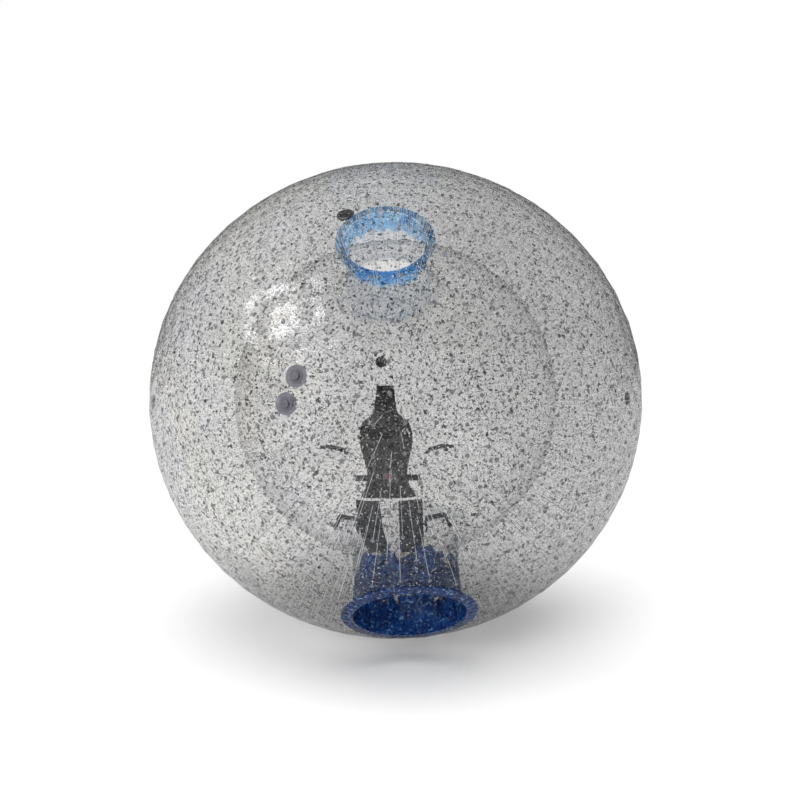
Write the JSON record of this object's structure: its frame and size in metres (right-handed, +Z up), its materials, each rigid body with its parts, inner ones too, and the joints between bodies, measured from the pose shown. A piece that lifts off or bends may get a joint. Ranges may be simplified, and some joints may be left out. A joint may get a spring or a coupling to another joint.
{
  "type": "inflatable rider ball",
  "caption": "Clear inflatable ball with a smaller ball tethered inside it, two blue entrance tunnels, screw valves, carrying rings and a rider harness.",
  "frame": {"origin": "middle of the flat patch where the ball rests on the ground", "axes": "+Z up; the two entrance tunnels lie in the YZ plane, the front one opening towards -Y and downwards; +X to the right of someone facing the front opening"},
  "size_m": [3.0248, 3.0031, 2.8505],
  "materials": {
    "clear_film": "clear PVC film, glossy, wrinkled",
    "blue_film": "blue PVC film, satin",
    "tether_cord": "braided white cord with welded discs",
    "valve_plastic": "moulded grey plastic",
    "black_webbing": "woven black webbing and padded cloth",
    "ring_steel": "plated steel, satin",
    "grip_rubber": "soft black rubber",
    "red_button": "moulded red plastic"
  },
  "bodies": {
    "ball": {"anchor_1_patch": "black_webbing", "anchor_2_patch": "black_webbing", "anchor_3_patch": "black_webbing", "anchor_4_patch": "black_webbing", "back_inner_collar": "blue_film", "back_outer_collar": "blue_film", "back_pad": "black_webbing", "back_tunnel": "blue_film", "buckle": "valve_plastic", "foot_loop_left": "black_webbing", "foot_loop_right": "black_webbing", "front_inner_collar": "blue_film", "front_outer_collar": "blue_film", "front_tunnel": "blue_film", "hand_grip_left_strap": "black_webbing", "hand_grip_right_strap": "black_webbing", "inner_gore_1": "clear_film", "inner_gore_2": "clear_film", "inner_gore_3": "clear_film", "inner_gore_4": "clear_film", "inner_gore_5": "clear_film", "inner_gore_6": "clear_film", "leg_pad_left": "black_webbing", "leg_pad_right": "black_webbing", "outer_gore_1": "clear_film", "outer_gore_2": "clear_film", "outer_gore_3": "clear_film", "outer_gore_4": "clear_film", "outer_gore_5": "clear_film", "outer_gore_6": "clear_film", "outer_gore_7": "clear_film", "outer_gore_8": "clear_film", "shoulder_strap_left": "black_webbing", "shoulder_strap_right": "black_webbing", "tether_1": "tether_cord", "tether_2": "tether_cord", "tether_3": "tether_cord", "tether_4": "tether_cord", "valve_1_base": "valve_plastic", "valve_1_patch": "valve_plastic", "valve_2_base": "valve_plastic", "valve_2_patch": "valve_plastic", "waist_belt_left": "black_webbing", "waist_belt_right": "black_webbing"},
    "valve_1_screw": {"valve_1_body": "valve_plastic", "valve_1_diaphragm": "grip_rubber"},
    "valve_1_lid": {"valve_1_cap": "valve_plastic"},
    "valve_2_screw": {"valve_2_body": "valve_plastic", "valve_2_diaphragm": "grip_rubber"},
    "valve_2_lid": {"valve_2_cap": "valve_plastic"},
    "anchor_1_swing": {"anchor_1_ring": "ring_steel"},
    "anchor_2_swing": {"anchor_2_ring": "ring_steel"},
    "anchor_3_swing": {"anchor_3_ring": "ring_steel"},
    "anchor_4_swing": {"anchor_4_ring": "ring_steel"},
    "belt_tongue": {"tongue": "ring_steel"},
    "buckle_button": {"release_button": "red_button"},
    "grip_left_roll": {"hand_grip_left_tube": "grip_rubber"},
    "grip_right_roll": {"hand_grip_right_tube": "grip_rubber"}
  },
  "joints": [
    {"name": "valve_1_unscrew", "type": "hinge", "parent": "ball", "child": "valve_1_screw", "pos_m": [-0.57482, -1.36394, 1.63537], "axis": [-0.3829, -0.9085, 0.1677], "continuous": true},
    {"name": "valve_1_cap_flip", "type": "hinge", "parent": "valve_1_screw", "child": "valve_1_lid", "pos_m": [-0.60221, -1.36996, 1.63086], "axis": [0.2126, -0.2633, -0.941], "range_deg": [0, 150]},
    {"name": "valve_2_unscrew", "type": "hinge", "parent": "ball", "child": "valve_2_screw", "pos_m": [-0.62349, -1.35996, 1.50488], "axis": [-0.4156, -0.9065, 0.0748], "continuous": true},
    {"name": "valve_2_cap_flip", "type": "hinge", "parent": "valve_2_screw", "child": "valve_2_lid", "pos_m": [-0.65061, -1.36486, 1.49801], "axis": [0.2749, -0.2035, -0.9397], "range_deg": [0, 150]},
    {"name": "anchor_1_ring_swing", "type": "hinge", "parent": "ball", "child": "anchor_1_swing", "pos_m": [-0.33486, -1.0087, 2.43329], "axis": [-0.949, 0.3151, 0], "range_deg": [0, 150]},
    {"name": "anchor_2_ring_swing", "type": "hinge", "parent": "ball", "child": "anchor_2_swing", "pos_m": [1.507, 0, 1.4], "axis": [0, -1, 0], "range_deg": [0, 150]},
    {"name": "anchor_3_ring_swing", "type": "hinge", "parent": "ball", "child": "anchor_3_swing", "pos_m": [-1.507, 0, 1.4], "axis": [0, 1, 0], "range_deg": [0, 150]},
    {"name": "anchor_4_ring_swing", "type": "hinge", "parent": "ball", "child": "anchor_4_swing", "pos_m": [0, 1.49576, 1.57765], "axis": [1, 0, 0], "range_deg": [0, 150]},
    {"name": "tongue_release", "type": "slide", "parent": "ball", "child": "belt_tongue", "axis": [1, 0, 0], "range_m": [0, 0.045]},
    {"name": "button_press", "type": "slide", "parent": "ball", "child": "buckle_button", "axis": [0, 0.7547, -0.6561], "range_m": [0, 0.003], "stiffness_N_per_m": 600},
    {"name": "hand_grip_left_spin", "type": "hinge", "parent": "ball", "child": "grip_left_roll", "pos_m": [-0.36658, 0.75899, 0.98805], "axis": [0.9171, 0.3009, -0.2616], "continuous": true},
    {"name": "hand_grip_right_spin", "type": "hinge", "parent": "ball", "child": "grip_right_roll", "pos_m": [0.36658, 0.75899, 0.98805], "axis": [0.9171, -0.3009, 0.2616], "continuous": true}
  ]
}
